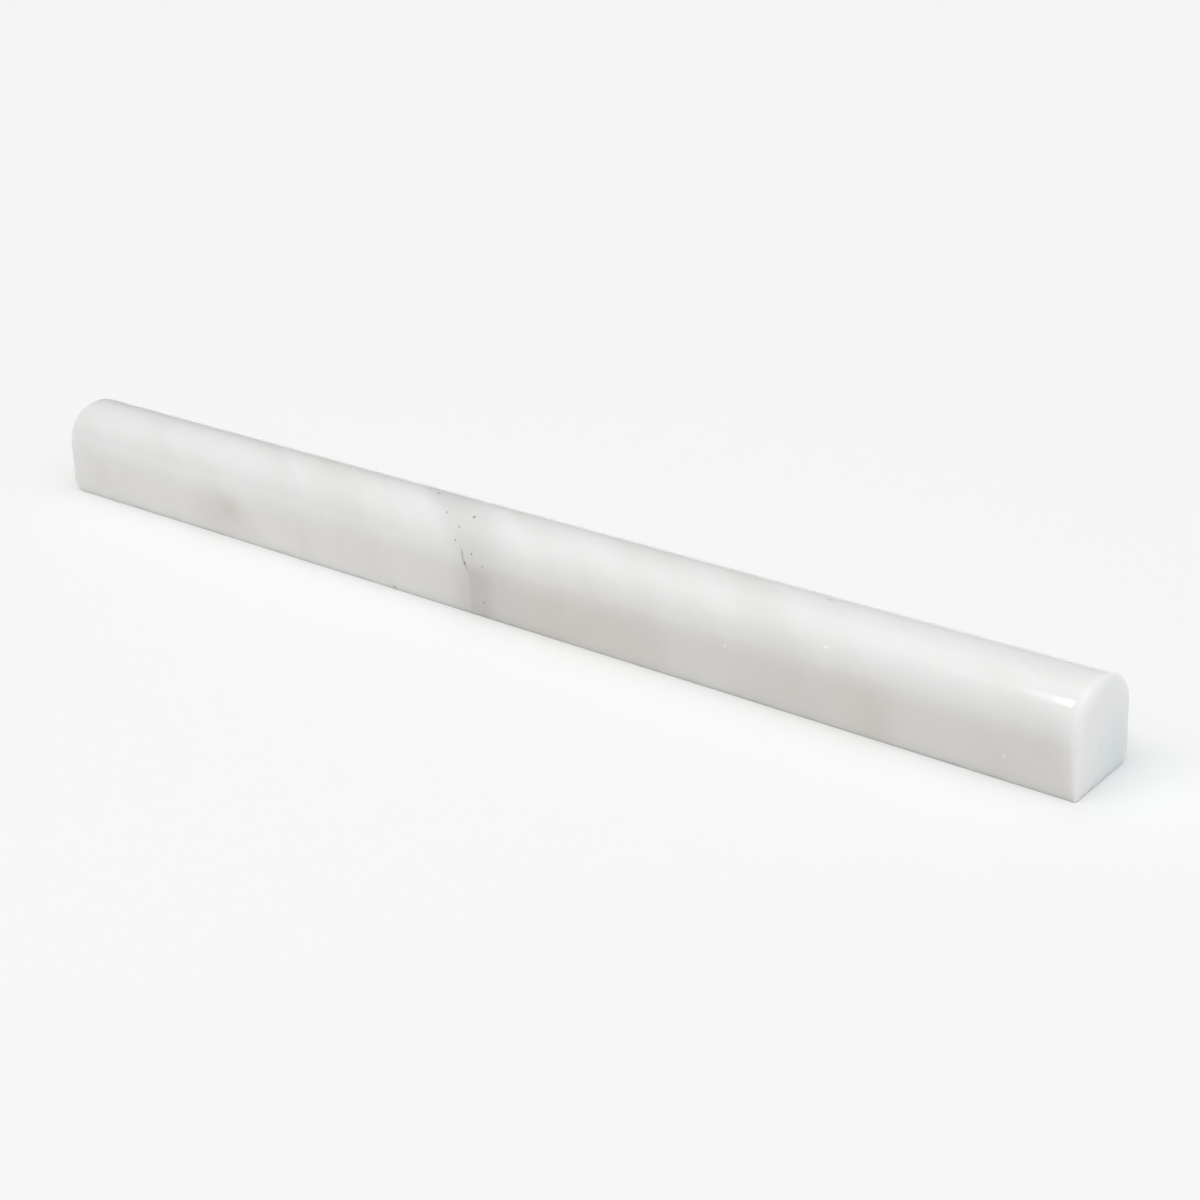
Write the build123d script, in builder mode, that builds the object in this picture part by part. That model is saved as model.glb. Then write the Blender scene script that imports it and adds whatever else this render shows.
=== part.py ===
"""Marble pencil moulding: a straight bar of polished white stone with a domed show face."""
import os
from math import asin, cos, degrees, radians

from build123d import *

# Overall sizes of the bar in millimetres, lying on its flat bedding face
bar_length = 305.0
bar_width = 21.0
bar_height = 22.5

# The domed face is a three-centred arch: a shallow crown between two rounder shoulders,
# whose centres lie the spacing apart
crown_radius = 13.0
shoulder_spacing = 2.0

# Long edges of the bedding face: the front one is crisp, the rear one is rubbed round
front_arris = 0.5
rear_arris = 3.5

# Polished easing round the sawn ends
end_easing = 1.5

# Arch: each shoulder's arc runs smoothly into the upright side and into the crown
half_width = bar_width / 2
shoulder_centre = shoulder_spacing / 2
shoulder_radius = half_width - shoulder_centre
crown_centre = bar_height - crown_radius
crown_half_angle = degrees(asin(shoulder_centre / (crown_radius - shoulder_radius)))
spring_height = crown_centre + (crown_radius - shoulder_radius) * cos(radians(crown_half_angle))
shoulder_sweep = 90 - crown_half_angle
front_start = 180 - shoulder_sweep

with BuildPart() as moulding:
    # Section across the bar: Y to the rear, Z up
    with BuildSketch(Plane.YZ.offset(-bar_length / 2)):
        with BuildLine():
            Line((-half_width, 0), (half_width, 0))
            Line((half_width, 0), (half_width, spring_height))
            CenterArc((shoulder_centre, spring_height), shoulder_radius, 0, shoulder_sweep)
            CenterArc((0, crown_centre), crown_radius, shoulder_sweep, 2 * crown_half_angle)
            CenterArc((-shoulder_centre, spring_height), shoulder_radius, front_start, shoulder_sweep)
            Line((-half_width, spring_height), (-half_width, 0))
        make_face()
    extrude(amount=bar_length)

    # Rear long edge of the bed, rubbed round
    bed_edges = moulding.edges().filter_by(Axis.X).group_by(Axis.Z)[0].sort_by(Axis.Y)
    fillet(bed_edges[-1], rear_arris)

    # Sawn ends, eased all round
    end_faces = moulding.faces().filter_by(Axis.X)
    fillet(end_faces.edges(), end_easing)

    # Front arris, between the eased ends
    front_edge = moulding.edges().filter_by(Axis.X).group_by(Axis.Z)[0].sort_by(Axis.Y)[0]
    fillet(front_edge, front_arris)

moulding.part.label = "pencil_moulding"

os.makedirs("parts", exist_ok=True)
export_step(moulding.part, "parts/pencil_moulding.step")
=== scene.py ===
import math

import bpy
import numpy as np
from mathutils import Matrix, Vector


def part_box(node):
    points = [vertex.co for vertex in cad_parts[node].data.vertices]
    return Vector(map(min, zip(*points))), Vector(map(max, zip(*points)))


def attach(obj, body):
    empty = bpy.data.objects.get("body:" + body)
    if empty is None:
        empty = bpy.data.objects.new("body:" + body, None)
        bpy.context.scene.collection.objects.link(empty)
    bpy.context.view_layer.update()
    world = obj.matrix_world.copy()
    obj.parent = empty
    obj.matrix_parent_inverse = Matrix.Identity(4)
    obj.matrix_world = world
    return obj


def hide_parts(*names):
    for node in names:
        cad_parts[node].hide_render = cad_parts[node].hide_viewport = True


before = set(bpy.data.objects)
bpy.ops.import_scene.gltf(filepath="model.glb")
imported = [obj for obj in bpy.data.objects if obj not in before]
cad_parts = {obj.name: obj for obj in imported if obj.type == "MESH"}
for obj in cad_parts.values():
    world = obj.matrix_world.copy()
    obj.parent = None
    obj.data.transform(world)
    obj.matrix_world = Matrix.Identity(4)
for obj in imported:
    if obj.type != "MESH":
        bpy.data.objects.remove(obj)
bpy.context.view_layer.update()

mm = 0.001
barLow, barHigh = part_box("pencil_moulding")
barLength, barWidth, barHeight = (barHigh - barLow) / mm
print("frame loaded, bar %.1f x %.1f x %.1f mm" % (barLength, barWidth, barHeight))


# camera, set where the photograph was taken from
cameraPlace = {
    "azimuth": 41.256,           # degrees, from the front towards the near end
    "elevation": 25.086,
    "roll": 3.883,               # degrees, clockwise
    "distance": 520.14,          # mm from the aim
    "aim": (25.07, 0.0, 7.07),   # mm
    "focalPixels": 2281.9,       # focal length in pixels of the square picture
    "picturePixels": 1200,
    "sensor": 36.0,              # mm
    "clip": (0.01, 300.0),       # m
}


def makeCamera(place):
    # the back axis points from the aim to the eye, right and up follow from it and are then rolled
    turn, rise, roll = (math.radians(place[key]) for key in ("azimuth", "elevation", "roll"))
    back = Vector((math.sin(turn) * math.cos(rise), -math.cos(turn) * math.cos(rise), math.sin(rise)))
    right = Vector((0, 0, 1)).cross(back).normalized()
    up = back.cross(right)
    rolledRight = right * math.cos(roll) - up * math.sin(roll)
    rolledUp = right * math.sin(roll) + up * math.cos(roll)
    lens = bpy.data.cameras.new("photoCamera")
    lens.sensor_width = place["sensor"]
    lens.lens = place["focalPixels"] / place["picturePixels"] * place["sensor"]
    lens.clip_start, lens.clip_end = place["clip"]
    camera = bpy.data.objects.new("photoCamera", lens)
    bpy.context.scene.collection.objects.link(camera)
    turned = Matrix((rolledRight, rolledUp, back)).transposed().to_4x4()
    turned.translation = (Vector(place["aim"]) + back * place["distance"]) * mm
    camera.matrix_world = turned
    bpy.context.scene.camera = camera


makeCamera(cameraPlace)
print("camera placed")


# the crack is a flat sheet through the stone: x + acrossRate * y + riseRate * z = offset, in mm
crackSheet = {"acrossRate": 1.42, "riseRate": 0.13, "offset": -20.14}

# the marble bar, in mm; a girth is the way round the section, measured up from the front bottom edge
barForm = {
    # section, with the front side at minus half the width
    "crownRadius": 13.0,
    "shoulderRadius": 9.5,
    "frontArris": 0.22,
    "rearArris": 3.5,
    "leastRadius": 0.08,         # what is left of the front arris where the ends draw in
    "bedShare": 0.3,             # the bed draws in less than the show faces
    # points on each stretch of the section
    "frontSteps": 48,
    "frontShoulderSteps": 44,
    "crownSteps": 24,
    "rearShoulderSteps": 20,
    "rearSteps": 12,
    "rearArrisSteps": 7,
    "bedSteps": 10,
    "frontArrisSteps": 5,
    # rings along the bar, crowded where the crack and its pits are
    "bodyRings": 500,
    "fineCentre": -10.0,
    "fineWidth": 14.0,
    "fineGain": 5.0,
    "sumSteps": 20000,           # steps of the running sum that spaces them
    # polished round on the sawn ends: girths and the radius at each
    "nearEasing": ((0.5, 6.0, 14.0, 26.0, 34.0), (0.8, 1.1, 2.0, 2.0, 0.8)),
    "farEasing": ((0.5, 34.0), (0.6, 0.6)),
    "easingSteps": 8,
    "capRings": 8,
    "capMiddle": 0.46,           # height of the flat ends' middle point, as a share of the bar's
    # the far end is sawn a little out of square, and the front corner of its foot is worn round
    "farLean": 1.0,
    "farLeanRise": (1.0, 14.0),  # heights between which it leans in
    "farCorner": 4.0,
    "farCornerDepth": (6.0, 10.3),   # distances to the front between which that wear grows
    "farCornerRise": 8.0,        # height up to which it pushes the front face up
    # fine relief worked into the surface, all of it inwards
    "seed": 17,
    "bedNormal": -0.9,           # where the normal's upward part is below this, the bed stays flat
    "polishDepth": 0.03,         # slow unevenness left by hand polishing
    "polishLengths": (16.0, 25.0, 34.0, 43.0, 52.0, 61.0, 70.0),
    "polishTilt": 1.4,
    "crackDepth": 0.12,
    "crackWidth": 0.42,
    "crackWander": ((1.9, 0.14), (4.3, 0.08)),   # rates along the girth and reaches
    "crackReach": (9.5, 12.0, 15.0, 17.5),   # girths where it starts, is full, thins and ends
    "crackBend": (12.6, 0.44),   # below this girth it turns to the near end by so much a mm
    "arrisChipCount": 90,
    "arrisChipDepth": 0.12,
    "arrisChipShares": (0.1, 1.0),   # roots of the shares of that depth
    "arrisChipWidths": (0.4, 1.6),
    "arrisChipEnds": (2.0, 5.0),     # distances from the ends over which they fade in
    "arrisChipBand": (0.2, 0.45),    # girth at their middle and how far they reach from it
    # pits beside the crack: place along the bar, girth, radius, depth
    "pits": [
        (-24.6, 29.9, 0.45, 0.22),
        (-16.4, 23.7, 0.34, 0.17),
        (-8.4, 24.5, 0.36, 0.26),
        (-10.5, 20.8, 0.32, 0.17),
        (-10.2, 17.6, 0.32, 0.16),
        (-4.6, 15.4, 0.32, 0.18),
        (-1.2, 13.1, 0.32, 0.15),
        (-6.8, 12.7, 0.38, 0.24),
        (-1.6, 3.8, 0.44, 0.12),
    ],
    # chips on the edges: the same values as for a pit
    "chips": [
        (-31.1, 0.6, 0.45, 0.16),
        (87.4, 30.5, 0.70, 0.10),
    ],
}


def smoothStep(low, high, value):
    # three times the square less twice the cube of the share between low and high, level at both
    share = np.clip((value - low) / (high - low), 0, 1)
    return share * share * (3 - 2 * share)


def lineStretch(start, end, count):
    # even steps from start to end without the last point; the normal is the direction turned a quarter left
    start, end = np.array(start), np.array(end)
    along = (end - start) / np.linalg.norm(end - start)
    points = start + (end - start) * (np.arange(count) / count)[:, None]
    return points, np.tile([-along[1], along[0]], (count, 1))


def arcStretch(centre, radius, startAngle, endAngle, count):
    # even angles round the centre without the last one; the normal is the radius itself
    angle = startAngle + (endAngle - startAngle) * np.arange(count) / count
    normal = np.stack([np.cos(angle), np.sin(angle)], axis=1)
    return np.array(centre) + radius * normal, normal


def sectionOutline(form, inset):
    # up the front, over the three-centred arch, down the rear and back along the bed, drawn in by the inset
    half = barWidth / 2 - inset
    bed = form["bedShare"] * inset
    crown = form["crownRadius"] - inset
    shoulder = form["shoulderRadius"] - inset
    front = max(form["frontArris"] - inset, form["leastRadius"])
    rear = form["rearArris"] - inset
    shoulderAt = half - shoulder
    crownAt = barHeight - form["crownRadius"]
    lean = math.asin(shoulderAt / (crown - shoulder))
    spring = crownAt + (crown - shoulder) * math.cos(lean)
    quarter = math.pi / 2
    stretches = [
        lineStretch((-half, bed + front), (-half, spring), form["frontSteps"]),
        arcStretch((-shoulderAt, spring), shoulder, math.pi, quarter + lean, form["frontShoulderSteps"]),
        arcStretch((0, crownAt), crown, quarter + lean, quarter - lean, form["crownSteps"]),
        arcStretch((shoulderAt, spring), shoulder, quarter - lean, 0, form["rearShoulderSteps"]),
        lineStretch((half, spring), (half, bed + rear), form["rearSteps"]),
        arcStretch((half - rear, bed + rear), rear, 0, -quarter, form["rearArrisSteps"]),
        lineStretch((half - rear, bed), (-half + front, bed), form["bedSteps"]),
        arcStretch((-half + front, bed + front), front, -quarter, -math.pi, form["frontArrisSteps"]),
    ]
    points = np.concatenate([stretch[0] for stretch in stretches])
    normals = np.concatenate([stretch[1] for stretch in stretches])
    return points, normals


def ringPlaces(form):
    # rings stand at equal steps of a running sum whose rate is higher round the crack
    limit = barLength / 2 - max(form["nearEasing"][1])
    fine = np.linspace(-limit, limit, form["sumSteps"] + 1)
    rate = 1 + form["fineGain"] * np.exp(-((fine - form["fineCentre"]) / form["fineWidth"]) ** 2)
    total = np.concatenate([[0.0], np.cumsum((rate[1:] + rate[:-1]) / 2)])
    wanted = np.linspace(0, total[-1], form["bodyRings"] + 2)[1:-1]
    return np.interp(wanted, total, fine)


def polishWave(x, girth, form):
    # a few slow waves along and round the bar, raised so that they only ever cut inwards
    draw = np.random.default_rng(form["seed"])
    wave = np.zeros_like(x)
    for length in form["polishLengths"]:
        phase = draw.uniform(0, 2 * np.pi)
        tilt = draw.uniform(-form["polishTilt"], form["polishTilt"])
        wave = wave + np.sin(2 * np.pi * (x + tilt * girth) / length + phase)
    return form["polishDepth"] * (0.5 + 0.5 * wave / len(form["polishLengths"]))


def pitDepths(x, y, z, girth, form):
    # a pit or chip is a flat-topped bell of distance, the crack a narrow wandering valley along its sheet
    depth = np.zeros_like(x)
    for along, around, radius, deep in form["pits"] + form["chips"]:
        apart = ((x - along) ** 2 + (girth - around) ** 2) / radius ** 2
        depth = np.maximum(depth, deep * np.exp(-apart ** 1.5))
    sheet = x + crackSheet["acrossRate"] * y + crackSheet["riseRate"] * z - crackSheet["offset"]
    wander = sum(reach * np.sin(rate * girth) for rate, reach in form["crackWander"])
    bendAt, bend = form["crackBend"]
    wander = wander - bend * np.clip(bendAt - girth, 0, None)
    starts, full, thins, ends = form["crackReach"]
    reach = smoothStep(starts, full, girth) * (1 - smoothStep(thins, ends, girth))
    valley = np.exp(-((sheet + wander) / form["crackWidth"]) ** 2)
    return np.maximum(depth, form["crackDepth"] * reach * valley)


def arrisChips(x, girth, form):
    # small flat-bottomed nicks along the front arris, fading with girth away from it and at the eased ends
    draw = np.random.default_rng(form["seed"] + 1)
    chips = np.zeros_like(x)
    for _ in range(form["arrisChipCount"]):
        along = draw.uniform(-barLength / 2, barLength / 2)
        wide = draw.uniform(*form["arrisChipWidths"])
        deep = form["arrisChipDepth"] * draw.uniform(*form["arrisChipShares"]) ** 2
        chips = np.maximum(chips, deep * np.exp(-((x - along) / wide) ** 4))
    fromEnd = smoothStep(*form["arrisChipEnds"], barLength / 2 - np.abs(x))
    middle, reach = form["arrisChipBand"]
    return chips * fromEnd * np.exp(-((girth - middle) / reach) ** 2)


def easedEnd(form, girth, easing):
    # rings of a quarter round, each drawn in by the radius less its sine and set back by the radius less
    # its cosine; the radius differs round the girth
    angle = np.linspace(0, math.pi / 2, form["easingSteps"] + 1)[:, None]
    radius = np.interp(girth, *easing)
    outer, inner = (sectionOutline(form, inset)[0] for inset in (0.0, 1.0))
    drawnIn = radius * (1 - np.sin(angle))
    return radius * (1 - np.cos(angle)), outer + drawnIn[..., None] * (inner - outer)


def farCornerLift(x, y, z, form):
    # a quarter round in the front view, fading to the rear and with height
    worn = form["farCorner"]
    fromRound = np.clip(worn - (x + barLength / 2), 0, worn)
    lift = worn - np.sqrt(worn ** 2 - fromRound ** 2)
    return lift * smoothStep(*form["farCornerDepth"], -y) * np.clip(1 - z / form["farCornerRise"], 0, 1)


def ringFaces(rings, count):
    # quads between neighbouring rings, and a fan of triangles on the pole at each end
    start = np.arange(rings - 1)[:, None] * count
    here = np.arange(count)
    after = (here + 1) % count
    quads = np.stack([start + here, start + count + here, start + count + after, start + after], axis=-1)
    last = (rings - 1) * count
    farFan = np.stack([np.full(count, rings * count), here, after], axis=-1)
    nearFan = np.stack([np.full(count, rings * count + 1), last + after, last + here], axis=-1)
    return quads.reshape(-1, 4), np.concatenate([farFan, nearFan])


def mouldingSurface(form):
    # the section is carried along the bar; at each end it draws in by a quarter round and closes to a pole
    points, normals = sectionOutline(form, 0.0)
    step = np.linalg.norm(np.diff(points, axis=0), axis=1)
    girth = form["frontArris"] + np.concatenate([[0.0], np.cumsum(step)])
    farBack, farRings = easedEnd(form, girth, form["farEasing"])
    nearBack, nearRings = easedEnd(form, girth, form["nearEasing"])
    body = ringPlaces(form)[:, None] + np.zeros_like(girth)
    bodyRings = np.broadcast_to(points, (len(body), *points.shape))
    x = np.concatenate([farBack - barLength / 2, body, barLength / 2 - nearBack[::-1]])
    ring = np.concatenate([farRings, bodyRings, nearRings[::-1]])
    y, z = ring[..., 0], ring[..., 1]
    # the relief cuts in against the section's normals
    girths = np.broadcast_to(girth, x.shape)
    pit = pitDepths(x, y, z, girths, form)
    depth = polishWave(x, girths, form) + pit + arrisChips(x, girths, form)
    y = y - depth * normals[:, 0]
    z = z - depth * normals[:, 1] * (normals[:, 1] > form["bedNormal"])
    z = z + farCornerLift(x, y, z, form)
    # flat ends: rings that shrink evenly towards a middle point
    middle = np.array([0.0, barHeight * form["capMiddle"]])
    shrink = np.linspace(0, 1, form["capRings"] + 1)[1:-1, None]
    farCap = [m + shrink * (c[0] - m) for m, c in zip(middle, (y, z))]
    nearCap = [m + shrink[::-1] * (c[-1] - m) for m, c in zip(middle, (y, z))]
    capX = np.full_like(farCap[0], barLength / 2)
    x = np.concatenate([-capX, x, capX])
    y = np.concatenate([farCap[0], y, nearCap[0]])
    z = np.concatenate([farCap[1], z, nearCap[1]])
    pit = np.concatenate([np.zeros_like(capX), pit, np.zeros_like(capX)])
    poles = np.array([[-barLength / 2, *middle], [barLength / 2, *middle]])
    vertices = np.concatenate([np.stack([x, y, z], axis=-1).reshape(-1, 3), poles])
    # the far end leans in towards its top, less and less along the bar
    fromFar = smoothStep(barLength / 4, barLength / 2, -vertices[:, 0])
    vertices[:, 0] += form["farLean"] * fromFar * smoothStep(*form["farLeanRise"], vertices[:, 2])
    return vertices * mm, *ringFaces(*x.shape), np.append(pit.ravel(), [0.0, 0.0])


def makeMoulding(form):
    # the arrays go into one closed mesh, and the pits' depth into an attribute that the dust reads
    vertices, quads, fans, pit = mouldingSurface(form)
    mesh = bpy.data.meshes.new("marbleBar")
    mesh.vertices.add(len(vertices))
    mesh.vertices.foreach_set("co", vertices.ravel())
    corners = np.concatenate([quads.ravel(), fans.ravel()])
    mesh.loops.add(len(corners))
    mesh.loops.foreach_set("vertex_index", corners)
    starts = np.concatenate([np.arange(len(quads)) * 4, quads.size + np.arange(len(fans)) * 3])
    mesh.polygons.add(len(starts))
    mesh.polygons.foreach_set("loop_start", starts)
    mesh.polygons.foreach_set("use_smooth", np.ones(len(starts), dtype=bool))
    mesh.update(calc_edges=True)
    depth = mesh.attributes.new("pitDepth", "FLOAT", "POINT")
    depth.data.foreach_set("value", pit)
    mesh.validate()
    made = bpy.data.objects.new("marbleBar", mesh)
    bpy.context.scene.collection.objects.link(made)
    print("bar surface: %d vertices, %d triangles" % (len(vertices), 2 * len(quads) + len(fans)))
    return made


bar = makeMoulding(barForm)


# node helpers: an input takes another node's socket or a plain value
def addNode(tree, kind, inputs, **settings):
    made = tree.nodes.new(kind)
    for name, value in settings.items():
        setattr(made, name, value)
    for name, value in inputs.items():
        if isinstance(value, bpy.types.NodeSocket):
            tree.links.new(value, made.inputs[name])
        else:
            made.inputs[name].default_value = value
    return made


def addMath(tree, operation, first, second=0.0):
    return addNode(tree, "ShaderNodeMath", {0: first, 1: second}, operation=operation).outputs[0]


def addVector(tree, operation, first, second=(0.0, 0.0, 0.0), output="Vector"):
    return addNode(tree, "ShaderNodeVectorMath", {0: first, 1: second}, operation=operation).outputs[output]


def addRange(tree, value, low, high, toLow=0.0, toHigh=1.0):
    inputs = {"Value": value, "From Min": low, "From Max": high, "To Min": toLow, "To Max": toHigh}
    return addNode(tree, "ShaderNodeMapRange", inputs, interpolation_type="SMOOTHSTEP").outputs["Result"]


def addNoise(tree, vector, scale, detail=3.0, roughness=0.5, output="Fac"):
    inputs = {"Vector": vector, "Scale": scale, "Detail": detail, "Roughness": roughness}
    return addNode(tree, "ShaderNodeTexNoise", inputs).outputs[output]


def addBlend(tree, share, under, over, blend="MULTIPLY"):
    # sockets 6 and 7 are the node's two colours and output 2 the blended one
    inputs = {0: share, 6: under, 7: over}
    return addNode(tree, "ShaderNodeMix", inputs, data_type="RGBA", blend_type=blend).outputs[2]


# polished white marble; a bed's place is in mm of x + acrossRate * y + riseRate * z, as on the crack's sheet
marbleFinish = {
    "stone": (0.818, 0.811, 0.801, 1.0),
    "cloudStretch": (0.55, 0.35, 0.35),   # along the beds' own measure, across the bar and up
    "cloudScale": 85.0,
    "cloudDetail": (5.0, 0.55),  # detail and roughness of the noise
    "cloudRange": (0.40, 0.70),
    "cloudTint": (0.95, 0.943, 0.931, 1.0),
    "warpScale": 48.0,
    "warpReach": 4.0,            # mm
    # beds: start, full, fading, end, then the heights where they thin and end, how far back they reach,
    # tint; foot and the near foot are no beds of the stone but painted shade on the lower front face
    "beds": {
        "haze": (-28.0, -19.0, -17.0, 2.0, 90.0, 91.0, 90.0, (0.885, 0.882, 0.878, 1.0)),
        # painted shade: the lower front face darker along the whole bar, as less light falls on it than on
        # the top
        "foot": (-900.0, -800.0, 800.0, 900.0, 8.0, 17.0, -8.5, (0.955, 0.945, 0.93, 1.0)),
        # painted shade: the lower front face darker still from the crack to the near end
        "nearFootShade": (-50.0, -20.0, 134.5, 139.0, 9.0, 18.5, -8.5, (0.913, 0.908, 0.902, 1.0)),
        "beige": (-10.0, 2.0, 12.0, 36.0, 6.0, 19.0, -8.5, (0.975, 0.962, 0.947, 1.0)),
        "beigeStep": (74.0, 90.0, 92.5, 101.0, 9.0, 19.0, -8.5, (0.965, 0.952, 0.94, 1.0)),
    },
    # the grey patch under the crack, along the bar itself: the same values as for a bed
    "greyPatch": (-6.2, -5.4, -1.5, 3.0, 10.5, 13.5, -8.5, (0.925, 0.92, 0.912, 1.0)),
    "bedEdge": 1.5,              # mm over which a bed ends at the back
    # spots: centre, size, where the edge starts and ends as shares of the size, tint
    "spots": {
        "smoke": ((-88.6, -10.5, 8.6), (5.5, 5.0, 4.2), 0.0, 1.3, (0.93, 0.922, 0.908, 1.0)),
        "smokeDrift": ((-93.5, -10.5, 5.0), (14.0, 9.0, 8.0), 0.0, 1.3, (0.905, 0.896, 0.878, 1.0)),
        "endMark": ((152.5, -1.4, 7.6), (0.8, 0.7, 0.9), 0.3, 1.0, (0.93, 0.94, 0.95, 1.0)),
        # painted cool shade: the near end face darker and bluer towards its lower rear
        "endCoolShade": ((152.5, 6.0, 4.0), (3.0, 11.0, 13.0), 0.0, 1.2, (0.905, 0.952, 0.982, 1.0)),
    },
    # white crystals: centre, size, share
    "crystals": {
        "bright": ((93.9, -9.3, 17.5), (0.8, 0.5, 0.35), 0.9),
        "faint": ((68.6, -10.5, 11.4), (0.5, 0.4, 0.5), 0.5),
        "low": ((136.5, -10.5, 5.6), (0.5, 0.4, 0.5), 0.5),
    },
    "crystalEdge": (0.3, 1.0),   # as for a spot
    "crystalColour": (0.97, 0.97, 0.97, 1.0),
    "pitRange": (0.02, 0.22),    # mm
    "pitTint": (0.36, 0.35, 0.34, 1.0),
    "rubbedScale": 120.0,
    "rubbedDetail": (4.0, 0.6),
    "rubbedRange": (0.3, 0.75),
    "roughness": (0.08, 0.16),
    "grainScale": 900.0,
    "grainDetail": 2.0,
    "grainBump": 0.05,
    "grainDepth": 0.08,          # mm
    "ior": 1.5,
    "scatter": 0.85,
    "scatterRadius": (1.0, 0.93, 0.84),
    "scatterScale": 2.8,         # mm
}


def makeMarble(finish):
    material = bpy.data.materials.new("polishedMarble")
    material.use_nodes = True
    tree = material.node_tree
    tree.nodes.clear()
    place = addNode(tree, "ShaderNodeTexCoord", {}).outputs["Object"]
    split = addNode(tree, "ShaderNodeSeparateXYZ", {0: place})
    along = addMath(tree, "DIVIDE", split.outputs["X"], mm)
    back = addMath(tree, "DIVIDE", split.outputs["Y"], mm)
    height = addMath(tree, "DIVIDE", split.outputs["Z"], mm)

    # the place wanders a little, so that clouds and beds have no straight edge
    wander = addNoise(tree, place, finish["warpScale"], output="Color")
    wander = addVector(tree, "SUBTRACT", wander, (0.5, 0.5, 0.5))
    wander = addVector(tree, "MULTIPLY", wander, (finish["warpReach"] * mm,) * 3)
    warped = addVector(tree, "ADD", place, wander)
    across = (1 / mm, crackSheet["acrossRate"] / mm, crackSheet["riseRate"] / mm)
    bedding = addVector(tree, "DOT_PRODUCT", warped, across, "Value")

    # soft clouds through the stone, drawn out along its beds
    inBeds = addNode(tree, "ShaderNodeCombineXYZ", {"X": bedding, "Y": back, "Z": height}).outputs[0]
    stretched = addVector(tree, "MULTIPLY", inBeds, tuple(rate * mm for rate in finish["cloudStretch"]))
    cloud = addNoise(tree, stretched, finish["cloudScale"], *finish["cloudDetail"])
    cloud = addRange(tree, cloud, *finish["cloudRange"])
    colour = addBlend(tree, cloud, finish["stone"], finish["cloudTint"])

    # a bed, or a band of painted shade, is a plateau along one measure of place that dies out with height
    # and to the back
    def addBed(under, measure, start, full, fading, end, thins, ends, reach, tint):
        share = addRange(tree, measure, start, full)
        share = addMath(tree, "MULTIPLY", share, addRange(tree, measure, fading, end, 1.0, 0.0))
        share = addMath(tree, "MULTIPLY", share, addRange(tree, height, thins, ends, 1.0, 0.0))
        edge = addRange(tree, back, reach - finish["bedEdge"], reach, 1.0, 0.0)
        share = addMath(tree, "MULTIPLY", share, edge)
        return addBlend(tree, share, under, tint)

    for bed in finish["beds"].values():
        colour = addBed(colour, bedding, *bed)
    colour = addBed(colour, along, *finish["greyPatch"])

    # spots and crystals, ellipsoids with soft edges; the cool spot on the near end is painted cool shade,
    # the rest lie in the stone
    def ellipsoid(where, centre, size, inner, outer):
        moved = addVector(tree, "SUBTRACT", where, tuple(value * mm for value in centre))
        scaled = addVector(tree, "DIVIDE", moved, tuple(value * mm for value in size))
        return addRange(tree, addVector(tree, "LENGTH", scaled, output="Value"), inner, outer, 1.0, 0.0)

    for centre, size, inner, outer, tint in finish["spots"].values():
        colour = addBlend(tree, ellipsoid(warped, centre, size, inner, outer), colour, tint)
    for centre, size, share in finish["crystals"].values():
        spot = addMath(tree, "MULTIPLY", ellipsoid(place, centre, size, *finish["crystalEdge"]), share)
        colour = addBlend(tree, spot, colour, finish["crystalColour"], "MIX")

    # dust in the pits, chips and crack
    pit = addNode(tree, "ShaderNodeAttribute", {}, attribute_name="pitDepth").outputs["Fac"]
    colour = addBlend(tree, addRange(tree, pit, *finish["pitRange"]), colour, finish["pitTint"])

    # crystal grain in the polish, and rubbed patches in its gloss
    grain = addNoise(tree, place, finish["grainScale"], finish["grainDetail"])
    rubbed = addNoise(tree, place, finish["rubbedScale"], *finish["rubbedDetail"])
    bump = addNode(tree, "ShaderNodeBump", {
        "Strength": finish["grainBump"],
        "Distance": finish["grainDepth"] * mm,
        "Height": grain,
    })
    shader = addNode(tree, "ShaderNodeBsdfPrincipled", {
        "Base Color": colour,
        "Roughness": addRange(tree, rubbed, *finish["rubbedRange"], *finish["roughness"]),
        "Normal": bump.outputs["Normal"],
        "IOR": finish["ior"],
        "Subsurface Weight": finish["scatter"],
        "Subsurface Radius": finish["scatterRadius"],
        "Subsurface Scale": finish["scatterScale"] * mm,
    })
    output = tree.nodes.new("ShaderNodeOutputMaterial")
    tree.links.new(shader.outputs["BSDF"], output.inputs["Surface"])
    return material


bar.data.materials.append(makeMarble(marbleFinish))
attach(bar, "root")
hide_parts("pencil_moulding")
print("marble finished")


# pale floor and soft light; the sides, depths and heights of the sky are parts of a direction of length one
studio = {
    "floorSide": 160.0,          # m
    "floorDrop": 0.02,           # mm below the bed
    "floorColour": (0.915, 0.904, 0.899, 1.0),
    "archLevel": 1.92,           # brightness along the arch of light
    "edgeLevel": 0.48,           # and where it has faded out
    "archTilt": 11.5,            # degrees the arch leans to the front of overhead
    "archFade": (0.2, 0.85),     # sines of the angle from its plane between which it fades
    "leftFade": (-0.9, -0.3, 0.05),   # sides between which it dims at its left foot, and to what share
    "leftRise": 0.25,            # at the front it stays lit near the horizon, up to this height
    "leftFront": (-0.4, 0.1),    # depths between which that ends
    "rightFade": (0.16, 1.0, 0.47),   # as at the left, for its right foot
    "warmSide": (1.0, 0.997, 0.99, 1.0),
    "coolSide": (0.92, 0.972, 1.0, 1.0),
    "coolFade": (-0.3, 0.8),     # sides between which warm turns to cool
    # lamps whose reflections lie on the shoulder by the near end: power in W, then in mm the sizes along
    # and across the bar and the place
    "glints": {
        "glintSpot": (0.030, (5.0, 110.0), (-15.0, -188.0, 330.0)),
        "glintStreak": (0.007, (60.0, 80.0), (-45.0, -180.0, 336.0)),
    },
    "glintAim": (150.0, -7.0, 20.0),
}


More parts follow.
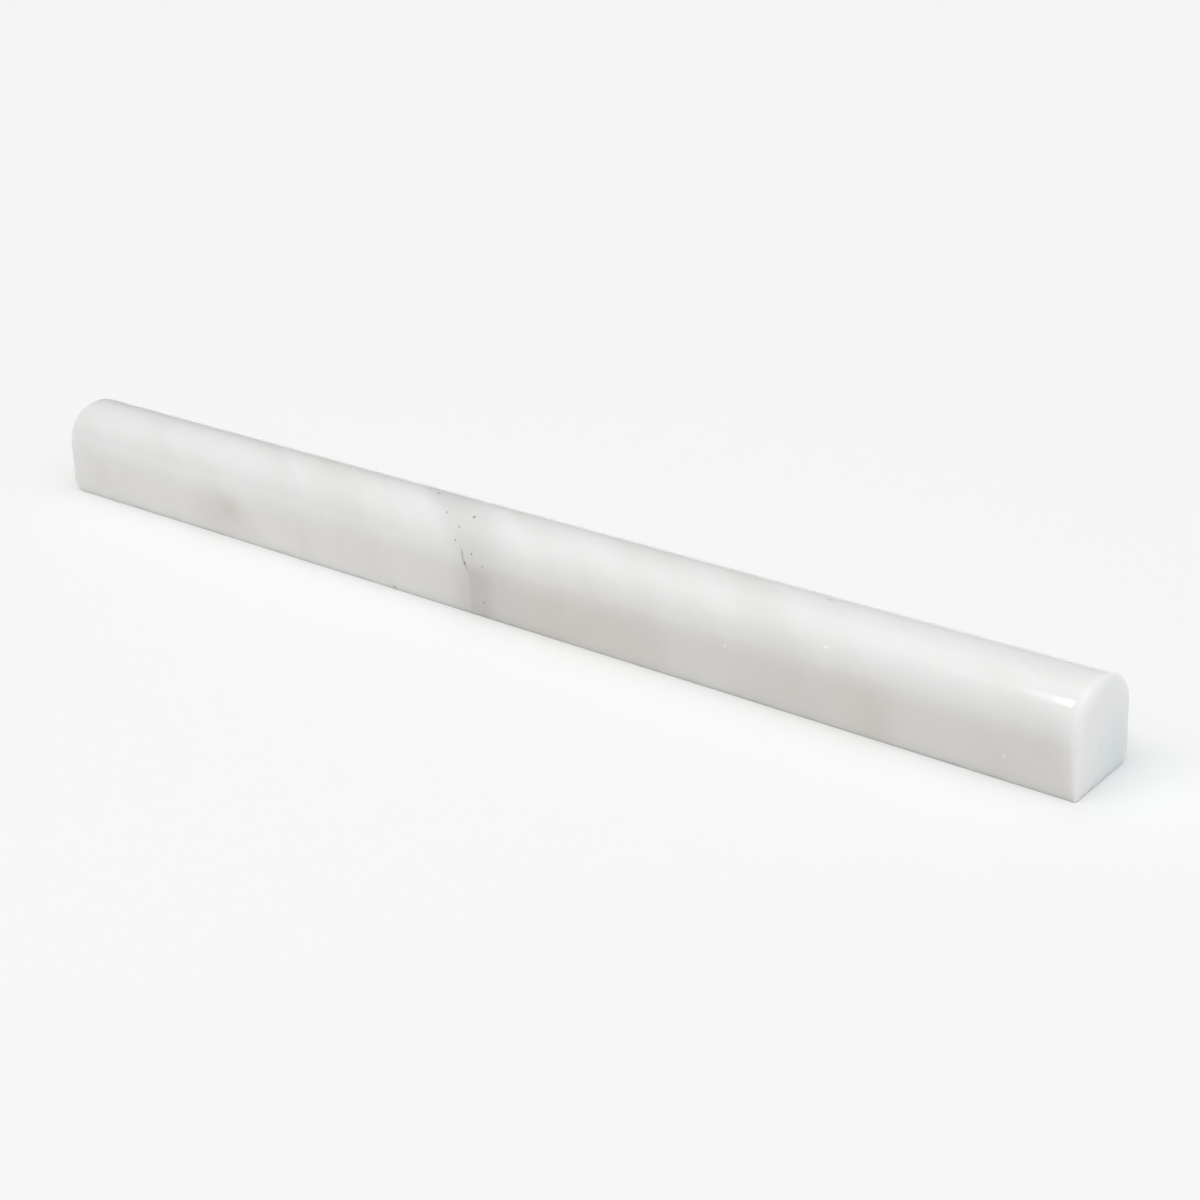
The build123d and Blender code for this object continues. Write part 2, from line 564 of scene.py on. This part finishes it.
def makeFloor(settings):
    # one large square, a hair below the bed
    half = settings["floorSide"] / 2
    level = barLow.z - settings["floorDrop"] * mm
    sign = np.array([[-1, -1], [1, -1], [1, 1], [-1, 1]])
    corners = np.column_stack([sign * half, np.full(4, level)])
    mesh = bpy.data.meshes.new("paleFloor")
    mesh.from_pydata(corners.tolist(), [], [(0, 1, 2, 3)])
    floor = bpy.data.objects.new("paleFloor", mesh)
    bpy.context.scene.collection.objects.link(floor)
    material = bpy.data.materials.new("paleFloor")
    material.use_nodes = True
    shader = material.node_tree.nodes["Principled BSDF"]
    shader.inputs["Base Color"].default_value = settings["floorColour"]
    shader.inputs["Roughness"].default_value = 1.0
    shader.inputs["Specular IOR Level"].default_value = 0.0
    mesh.materials.append(material)


def makeSky(settings):
    # a soft arch of light from left to right over the bar, bright where a direction is near its plane
    world = bpy.data.worlds.new("softArch")
    world.use_nodes = True
    tree = world.node_tree
    tree.nodes.clear()
    direction = addNode(tree, "ShaderNodeTexCoord", {}).outputs["Generated"]
    tilt = math.radians(settings["archTilt"])
    offPlane = addVector(tree, "DOT_PRODUCT", direction, (0.0, math.cos(tilt), math.sin(tilt)), "Value")
    parts = addNode(tree, "ShaderNodeSeparateXYZ", {0: direction}).outputs
    side, depth, rise = parts["X"], parts["Y"], parts["Z"]
    away = addMath(tree, "ABSOLUTE", offPlane)
    level = addRange(tree, away, *settings["archFade"], settings["archLevel"], settings["edgeLevel"])
    leftLow, leftHigh, leftLevel = settings["leftFade"]
    leftFoot = addRange(tree, side, leftLow, leftHigh, leftLevel, 1.0)
    low = addRange(tree, rise, 0.0, settings["leftRise"], 1.0, 0.0)
    low = addMath(tree, "MULTIPLY", low, addRange(tree, depth, *settings["leftFront"], 1.0, 0.0))
    leftFoot = addMath(tree, "MAXIMUM", leftFoot, low)
    level = addMath(tree, "MULTIPLY", level, leftFoot)
    rightLow, rightHigh, rightLevel = settings["rightFade"]
    level = addMath(tree, "MULTIPLY", level, addRange(tree, side, rightLow, rightHigh, 1.0, rightLevel))
    cool = addRange(tree, side, *settings["coolFade"])
    tint = addBlend(tree, cool, settings["warmSide"], settings["coolSide"], "MIX")
    light = addNode(tree, "ShaderNodeBackground", {"Color": tint, "Strength": level})
    output = tree.nodes.new("ShaderNodeOutputWorld")
    tree.links.new(light.outputs[0], output.inputs["Surface"])
    bpy.context.scene.world = world


def makeGlint(name, power, size, at, aim):
    lamp = bpy.data.lights.new(name, "AREA")
    lamp.shape = "RECTANGLE"
    lamp.size, lamp.size_y = (side * mm for side in size)
    lamp.energy = power
    glint = bpy.data.objects.new(name, lamp)
    # its own x follows the bar and its back looks away from the aim
    away = (Vector(at) - Vector(aim)).normalized()
    across = away.cross(Vector((1, 0, 0))).normalized()
    turned = Matrix((across.cross(away), across, away)).transposed().to_4x4()
    turned.translation = Vector(at) * mm
    glint.matrix_world = turned
    glint.visible_camera = False
    bpy.context.scene.collection.objects.link(glint)


makeFloor(studio)
makeSky(studio)
for name, lamp in studio["glints"].items():
    makeGlint(name, *lamp, studio["glintAim"])
bpy.context.scene.view_settings.view_transform = "Standard"
print("floor and light set")
